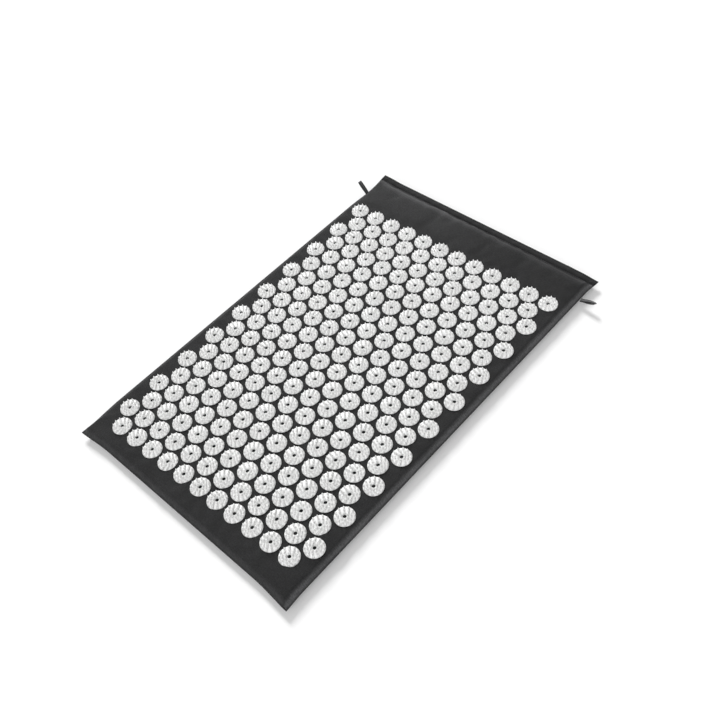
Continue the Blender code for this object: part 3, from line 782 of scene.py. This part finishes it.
def make_foam(material):
    """The foam slab inside the cover, cut to its shape."""
    edge = spread(0.0, SHOULDER_RUN + FOAM_INSET, 2 * BORDER_SPACING)
    half_width = HALF_WIDTH - FOAM_INSET
    foot, head = FOAM_INSET - HALF_LENGTH, HALF_LENGTH - (HEAD_SHOULDER_START + FOAM_INSET)
    us = stations(-half_width, half_width, edge, edge, FOAM_SPACING)
    vs = stations(foot, head, edge, edge, FOAM_SPACING)
    bm = bmesh.new()
    for side in (-1, 1):
        rows = [[bm.verts.new(foam_point(u, v, side)) for u in us] for v in vs]
        for j in range(len(vs) - 1):
            for i in range(len(us) - 1):
                corners = [rows[j][i], rows[j][i + 1], rows[j + 1][i + 1], rows[j + 1][i]]
                bm.faces.new(corners if side > 0 else corners[::-1])
    rims = [edge for edge in bm.edges if edge.is_boundary]
    bmesh.ops.bridge_loops(bm, edges=rims)
    bmesh.ops.recalc_face_normals(bm, faces=bm.faces)
    slab = add_piece("foam_slab", mesh_of("foam_slab", bm), material)
    shade_smooth(slab.data, sharp_degrees=50)
    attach(slab, "cover")
    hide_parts("foam_core")


# The discs


def turned(name, profile, sides):
    """A solid of revolution about Z from a closed profile of (radius, height) points."""
    bm = bmesh.new()
    rings = []
    for angle in circle(sides):
        rings.append([bm.verts.new((r * math.cos(angle), r * math.sin(angle), z)) for r, z in profile])
    for i in range(sides):
        one, two = rings[i], rings[(i + 1) % sides]
        for j in range(len(profile)):
            k = (j + 1) % len(profile)
            bm.faces.new((one[j], two[j], two[k], one[k]))
    bmesh.ops.recalc_face_normals(bm, faces=bm.faces)
    return mesh_of(name, bm)


def set_painted_light(mesh, values):
    """Stores how light the painted shade leaves each vertex, from 0 in the hollows between the spikes to 1.
    """
    mesh.attributes.new("painted_light", "FLOAT", "POINT").data.foreach_set("value", values)


def plate_mesh():
    """The round plate of a disc, its rim rounded and its hole open."""
    outer = DISC_DIAMETER / 2
    profile = (
        (PLATE_HOLE_RADIUS, 0.0),
        (outer, 0.0),
        (outer, PLATE_THICKNESS - PLATE_ROUNDING),
        (outer - PLATE_CORNER_CUT, PLATE_THICKNESS - PLATE_CORNER_CUT),
        (outer - PLATE_ROUNDING, PLATE_THICKNESS),
        (PLATE_HOLE_RADIUS, PLATE_THICKNESS),
    )
    mesh = turned("disc_plate", profile, PLATE_SIDES)
    set_painted_light(mesh, PLATE_PAINTED_LIGHT * PLATE_SIDES)
    shade_smooth(mesh, sharp_degrees=50)
    return mesh


def spike_mesh():
    """One moulded spike, hollowed towards its blunt tip and wider along its ring than across it."""
    root = PLATE_THICKNESS - PLATE_ROUNDING
    rings = []
    for width, share in SPIKE_LEVELS:
        height = root + (PLATE_THICKNESS - root + SPIKE_HEIGHT) * share
        across = SPIKE_RADIUS * width
        along = across * (1 + (SPIKE_SPREAD - 1) * (1 - share))
        rings.append([(across * math.cos(a), along * math.sin(a), height) for a in circle(SPIKE_SIDES)])
    mesh = skinned("disc_spike", rings)
    set_painted_light(mesh, [value for value in SPIKE_PAINTED_LIGHT for _ in range(SPIKE_SIDES)])
    shade_smooth(mesh, sharp_degrees=60)
    return mesh


class Growth(Nodes):
    """A Geometry Nodes tree and short ways to build it."""

    def __init__(self, name):
        super().__init__(bpy.data.node_groups.new(name, "GeometryNodeTree"))
        self.tree.interface.new_socket("Geometry", in_out="INPUT", socket_type="NodeSocketGeometry")
        self.tree.interface.new_socket("Geometry", in_out="OUTPUT", socket_type="NodeSocketGeometry")
        self.start = self.tree.nodes.new("NodeGroupInput")
        self.end = self.tree.nodes.new("NodeGroupOutput")

    def size(self, name, kind, value=None):
        """Adds a named input and gives its socket."""
        socket = self.tree.interface.new_socket(name, in_out="INPUT", socket_type=f"NodeSocket{kind}")
        if value is not None:
            socket.default_value = value
        return self.start.outputs[name]

    def join(self, shapes):
        joined = self.add("GeometryNodeJoinGeometry")
        for shape in shapes:
            self.tree.links.new(shape, joined.node.inputs[0])
        return joined

    def shape_of(self, unit):
        """The mesh of a piece that is one of the inputs."""
        return self.add("GeometryNodeObjectInfo", {"Object": unit}, 4)

    def on_points(self, shape):
        """The shape on every point of the base, turned as the point says."""
        turn = self.add("GeometryNodeInputNamedAttribute", {"Name": "turn"}, data_type="FLOAT_VECTOR")
        turned_to = self.add("FunctionNodeEulerToRotation", {"Euler": turn})
        inputs = {"Points": self.start.outputs["Geometry"], "Instance": shape, "Rotation": turned_to}
        return self.add("GeometryNodeInstanceOnPoints", inputs)

    def finish(self, shape):
        """Ends the tree: instances made real, in the material that is its last input."""
        material = self.size("Material", "Material")
        real = self.add("GeometryNodeRealizeInstances", {"Geometry": shape})
        done = self.add("GeometryNodeSetMaterial", {"Geometry": real, "Material": material})
        self.give(self.end, 0, done)
        return self.tree


def grown(name, base, group, material, **values):
    """A piece made by a tree on a base mesh, as a plain mesh."""
    piece = add_piece(name, base)
    modifier = piece.modifiers.new("grow", "NODES")
    modifier.node_group = group
    values["Material"] = material
    for item in group.interface.items_tree:
        key = item.name.replace(" ", "_")
        if item.in_out == "INPUT" and key in values:
            modifier[item.identifier] = values[key]
    return finished(piece)


def spiked_disc_tree():
    """Spikes in rings on a plate, and that disc set on every point, turned as the point says."""
    tree = Growth("spiked_discs")
    plate = tree.size("Plate", "Object")
    spike = tree.shape_of(tree.size("Spike", "Object"))
    radius = tree.size("Disc Radius", "Float", DISC_DIAMETER / 2)
    shapes = [tree.shape_of(plate)]
    for number, (count, share) in enumerate(zip(SPIKES_IN_RING, SPIKE_RING_RADIUS_SHARES), 1):
        spikes = tree.size(f"Spikes in Ring {number}", "Int", count)
        reach = tree.math("MULTIPLY", radius, tree.size(f"Ring {number} Share", "Float", share))
        ring = tree.add("GeometryNodeMeshCircle", {"Vertices": spikes, "Radius": reach})
        outwards = {"Vector": tree.add("GeometryNodeInputPosition")}
        facing = tree.add("FunctionNodeAlignRotationToVector", outwards, axis="X", pivot_axis="Z")
        inputs = {"Points": ring, "Instance": spike, "Rotation": facing}
        shapes.append(tree.add("GeometryNodeInstanceOnPoints", inputs))
    disc = tree.add("GeometryNodeRealizeInstances", {"Geometry": tree.join(shapes)})
    return tree.finish(tree.on_points(disc))


def surface_of(piece):
    """The faces of a piece, to cast rays on."""
    bm = bmesh.new()
    bm.from_mesh(piece.data)
    surface = BVHTree.FromBMesh(bm)
    bm.free()
    return surface


def turned_points(places, turns):
    """Loose points for a tree to set its shapes on, each with its own turn."""
    points = bpy.data.meshes.new("points")
    points.from_pydata(places, [], [])
    turn = points.attributes.new("turn", "FLOAT_VECTOR", "POINT")
    turn.data.foreach_set("vector", turns)
    return points


def make_discs(rows, panel, material):
    """Every row of discs, each disc bedded on the cover and turned at random."""
    surface = surface_of(panel)
    plate = add_piece("disc_plate_unit", plate_mesh())
    spike = add_piece("disc_spike_unit", spike_mesh())
    group = spiked_disc_tree()
    draw = random.Random(SEED)
    down = Vector((0.0, 0.0, -1.0))
    for number, row in enumerate(rows, 1):
        places, turns = [], []
        for x, y in row:
            found = surface.ray_cast(Vector((x, y, 2 * PAD_HEIGHT)), down)[0]
            places.append((x, y, found.z - DISC_BED))
            tilt = [draw.uniform(-DISC_TILT, DISC_TILT) for _ in range(2)]
            turns += [*tilt, draw.uniform(0.0, 2 * math.pi)]
        name = f"disc_row_{number:02d}"
        piece = grown(name, turned_points(places, turns), group, material, Plate=plate, Spike=spike)
        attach(piece, "cover")
        if number == 1:
            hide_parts(*[f"spike_disc_{i:02d}" for i in range(1, len(row) + 1)])
    bpy.data.objects.remove(plate)
    bpy.data.objects.remove(spike)


# The zip


def coil_tree():
    """A zip coil: wire wound round and round along X, in an upright ellipse."""
    tree = Growth("zip_coil")
    turns = tree.size("Turns", "Float")
    length = tree.size("Length", "Float")
    squash = tree.size("Squash", "Vector")
    wire_radius = tree.size("Wire Radius", "Float", COIL_WIRE_RADIUS)
    centre = tree.size("Centre", "Vector")
    inputs = {"Resolution": COIL_SIDES, "Rotations": turns, "Height": length}
    winding = tree.add("GeometryNodeCurveSpiral", inputs | {"Start Radius": 1.0, "End Radius": 1.0})
    winding = tree.add("GeometryNodeTransform", {"Geometry": winding, "Scale": squash})
    inputs = {"Geometry": winding, "Translation": centre, "Rotation": (0.0, math.pi / 2, 0.0)}
    winding = tree.add("GeometryNodeTransform", inputs)
    inputs = {"Resolution": COIL_WIRE_SIDES, "Radius": wire_radius}
    wire = tree.add("GeometryNodeCurvePrimitiveCircle", inputs)
    inputs = {"Curve": winding, "Profile Curve": wire, "Fill Caps": True}
    coil = tree.add("GeometryNodeCurveToMesh", inputs)
    return tree.finish(tree.add("GeometryNodeSetShadeSmooth", {"Geometry": coil}))


def make_coils(material):
    """Both coils of the zip, in the places of the frame's plain strips."""
    group = coil_tree()
    for name in ("upper", "lower"):
        node = f"zip_coil_{name}"
        low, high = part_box(node)
        half = (high - low) / 2
        length = 2 * (half.x - COIL_WIRE_RADIUS)
        centre = (low + high) / 2
        values = {
            "Turns": length / COIL_PITCH,
            "Length": length,
            "Squash": (half.z - COIL_WIRE_RADIUS, half.y - COIL_WIRE_RADIUS, 1.0),
            "Centre": (-length / 2, centre.y, centre.z),
        }
        coil = grown(f"coil_{name}", bpy.data.meshes.new("coil_base"), group, material, **values)
        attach(coil, "cover")
        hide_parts(node)


def merged_copy(node, name):
    """A copy of a frame node's mesh with its loose triangles joined up, its faces flat."""
    bm = bmesh.new()
    bm.from_mesh(frame["nodes"][node].data)
    bmesh.ops.remove_doubles(bm, verts=bm.verts, dist=MERGE_DISTANCE)
    mesh = mesh_of(name, bm)
    mesh.shade_flat()
    return mesh


def make_castings(material):
    """The slider, its pull and the stops, in the shapes of the frame."""
    bodies = {"zip_slider": "slider", "zip_pull": "pull"}
    stops = ("zip_top_stop_upper", "zip_top_stop_lower", "zip_bottom_stop")
    for node in (*bodies, *stops):
        name = node.replace("zip_", "cast_")
        casting = add_piece(name, merged_copy(node, name), material)
        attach(casting, bodies.get(node, "cover"))
        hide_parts(node)


def coat_tapes(material):
    """The zip tapes keep the frame's shapes and get their cloth."""
    for name in ("zip_tape_upper", "zip_tape_lower"):
        coat(frame["nodes"][name].data, material)


# Stitches and loops


def stitch_mesh():
    """One stitch along X: a short bulging length of thread that dives into the cloth at both ends."""
    rings = []
    for share, thick, height in STITCH_LEVELS:
        x, radius = share * STITCH_LENGTH / 2, STITCH_RADIUS * thick
        z = STITCH_RADIUS * height
        rings.append([(x, radius * math.cos(a), z + radius * math.sin(a)) for a in circle(STITCH_SIDES)])
    mesh = skinned("stitch", rings)
    mesh.shade_smooth()
    return mesh


def stitch_tree():
    """A stitch on every point, turned as the point says."""
    tree = Growth("stitch_row")
    stitch = tree.size("Stitch", "Object")
    return tree.finish(tree.on_points(tree.shape_of(stitch)))


def make_stitches(panels, material):
    """The row of stitches in the head end's groove, on both panels."""
    unit = add_piece("stitch_unit", stitch_mesh())
    group = stitch_tree()
    y = HALF_LENGTH - HEAD_GROOVE_MIDDLE
    reach = HALF_WIDTH - EAR_LENGTH / 2
    for name, side, panel in (("upper", 1, panels[0]), ("lower", -1, panels[1])):
        surface = surface_of(panel)
        places, turns = [], []
        for x in spread(-reach, reach, STITCH_PITCH):
            start = Vector((x, y, SEAM_HEIGHT + side * 2 * PAD_HEIGHT))
            place, normal = surface.ray_cast(start, Vector((0.0, 0.0, -side)))[:2]
            places.append(place + normal * STITCH_RADIUS / 2)
            turns += [math.atan2(-normal.y, normal.z) if side > 0 else math.pi, 0.0, 0.0]
        row = grown(f"head_stitches_{name}", turned_points(places, turns), group, material, Stitch=unit)
        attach(row, "cover")
    bpy.data.objects.remove(unit)


def loop_path(length):
    """The middle line of a folded ribbon in its own plane: out along one ply and back along the other."""
    out = [Vector((length * share, spread_by * MM)) for share, spread_by in LOOP_SPREAD]
    back = [Vector((point.x, -point.y)) for point in reversed(out[:-1])]
    return out + back


def smooth_line(points, steps):
    """A Catmull-Rom line through the points."""
    line = []
    padded = [2 * points[0] - points[1], *points, 2 * points[-1] - points[-2]]
    for a, b, c, d in zip(padded, padded[1:], padded[2:], padded[3:]):
        bend, twist = 2 * a - 5 * b + 4 * c - d, 3 * b - a - 3 * c + d
        for i in range(steps):
            t = i / steps
            line.append(0.5 * (2 * b + (c - a) * t + bend * t**2 + twist * t**3))
    return [*line, points[-1]]


def loop_section(half_width, half_thickness):
    """The ribbon's section: a thin strip with rounded edges, a little thicker along each edge."""
    thin_width, thin_thickness = RIBBON_MIDDLE * half_width, RIBBON_MIDDLE * half_thickness
    upper = [
        (-half_width, half_thickness - RIBBON_EDGE),
        (-half_width + RIBBON_EDGE, half_thickness),
        (-thin_width, thin_thickness),
        (0.0, thin_thickness),
        (thin_width, thin_thickness),
        (half_width - RIBBON_EDGE, half_thickness),
        (half_width, half_thickness - RIBBON_EDGE),
    ]
    return upper + [(a, -b) for a, b in reversed(upper)]


def make_loops(material):
    """The ribbon loops, each turning on its root in the side seam."""
    section = loop_section(RIBBON_WIDTH / 2, RIBBON_THICKNESS / 2)
    for name, side in (("left", -1), ("right", 1)):
        line = smooth_line(loop_path(LOOP_LENGTHS[name] - RIBBON_THICKNESS / 2), LOOP_STEPS)
        joint = JOINTS[f"loop_{name}_hinge"]
        lean = LOOP_LEAN if side > 0 else math.pi - LOOP_LEAN
        turn = Matrix.Rotation(lean, 4, "Z") @ Matrix.Rotation(math.pi / 2, 4, "X")
        turn = Matrix.Translation(joint["pos_m"]) @ turn @ Matrix.Rotation(LOOP_LIFTS[name], 4, "Z")
        bm = bmesh.new()
        cloth = bm.loops.layers.uv.new("cloth")
        rings, walked = [], [0.0]
        for i, point in enumerate(line):
            ahead, behind = line[min(i + 1, len(line) - 1)], line[max(i - 1, 0)]
            heading = (ahead - behind).normalized()
            outwards = Vector((-heading.y, heading.x))
            twist = Matrix.Rotation(LOOP_TWISTS[name] * point.x / LOOP_LENGTHS[name], 4, "X")
            ring = []
            for width, height in section:
                flat = point + outwards * height
                ring.append(bm.verts.new(turn @ twist @ Vector((flat.x, flat.y, width))))
            rings.append(ring)
            if i:
                walked.append(walked[-1] + (point - line[i - 1]).length)
        count = len(section)
        for i, (one, two) in enumerate(zip(rings, rings[1:])):
            for j in range(count):
                k = (j + 1) % count
                face = bm.faces.new((one[j], one[k], two[k], two[j]))
                ends = ((i, j), (i, k), (i + 1, k), (i + 1, j))
                for loop, (a, b) in zip(face.loops, ends):
                    loop[cloth].uv = (walked[a], section[b][0])
        bm.faces.new(rings[0])
        bm.faces.new(rings[-1])
        bmesh.ops.recalc_face_normals(bm, faces=bm.faces)
        piece = add_piece(f"ribbon_loop_{name}", mesh_of(f"ribbon_loop_{name}", bm), material)
        shade_smooth(piece.data, sharp_degrees=50)
        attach(piece, f"loop_{name}")
        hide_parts(f"hanging_loop_{name}")


# Camera, light and floor


def make_camera():
    """The photograph's own view."""
    camera = bpy.data.objects.new("camera", bpy.data.cameras.new("camera"))
    bpy.context.scene.collection.objects.link(camera)
    back = bearing(CAMERA_AZIMUTH, CAMERA_ELEVATION)
    turn = (-back).to_track_quat("-Z", "Y").to_matrix() @ Matrix.Rotation(CAMERA_ROLL, 3, "Z")
    camera.matrix_world = Matrix.Translation(Vector(CAMERA_AIM) + back * CAMERA_DISTANCE) @ turn.to_4x4()
    camera.data.lens = CAMERA_LENS
    camera.data.sensor_width = CAMERA_SENSOR
    camera.data.clip_start = CAMERA_NEAR
    camera.data.clip_end = CAMERA_FAR
    bpy.context.scene.camera = camera


def make_lamp(name, share, angle, azimuth, elevation):
    """A distant lamp that gives a level surface this share of a full light."""
    lamp = bpy.data.objects.new(name, bpy.data.lights.new(name, "SUN"))
    bpy.context.scene.collection.objects.link(lamp)
    towards = bearing(azimuth, elevation)
    lamp.rotation_euler = (-towards).to_track_quat("-Z", "Y").to_euler()
    lamp.data.energy = math.pi * share / towards.z
    lamp.data.angle = angle


def make_light():
    """A window beyond the head end's left corner, a broad fill from beyond the foot, and a white room."""
    make_lamp("window", *WINDOW)
    make_lamp("fill", *FILL)
    world = bpy.data.worlds.new("room")
    world.use_nodes = True
    bpy.context.scene.world = world
    room = Nodes(world.node_tree)
    background = room.tree.nodes["Background"]
    level = {"Value": room.seen_directly(), "To Min": SKY_STRENGTH, "To Max": 1.0}
    room.give(background, "Color", (1.0, 1.0, 1.0, 1.0))
    room.give(background, "Strength", room.add("ShaderNodeMapRange", level))


def make_floor():
    """A plain white floor that keeps the mat's shadow."""
    finish = Finish("floor_white")
    glow = finish.math("MULTIPLY", finish.seen_directly(), FLOOR_GLOW)
    finish.set(Base_Color=(*FLOOR_COLOUR, 1.0), Roughness=1.0, Specular_IOR_Level=0.0)
    finish.set(Emission_Color=(1.0, 1.0, 1.0, 1.0), Emission_Strength=glow)
    bm = bmesh.new()
    bmesh.ops.create_grid(bm, x_segments=1, y_segments=1, size=FLOOR_SIZE)
    floor = add_piece("floor", mesh_of("floor", bm), finish.material)


def main():
    scene = bpy.context.scene
    scene.view_settings.view_transform = "Standard"
    make_camera()
    make_light()
    make_floor()
    cloth = cover_cloth()
    plastic = disc_plastic()
    rows = disc_places()
    discs = [place for row in rows for place in row]
    upper = make_panel("cover_upper", "top_panel", 1, FIELD_SPACING, cloth, discs)
    lower = make_panel("cover_lower", "bottom_panel", -1, UNDERSIDE_SPACING, cloth, discs)
    make_foam(foam_block())
    make_discs(rows, upper, plastic)
    make_stitches((upper, lower), thread_cotton())
    make_coils(zip_nylon())
    make_castings(slider_metal())
    make_loops(loop_ribbon())
    coat_tapes(zip_tape_cloth())


main()
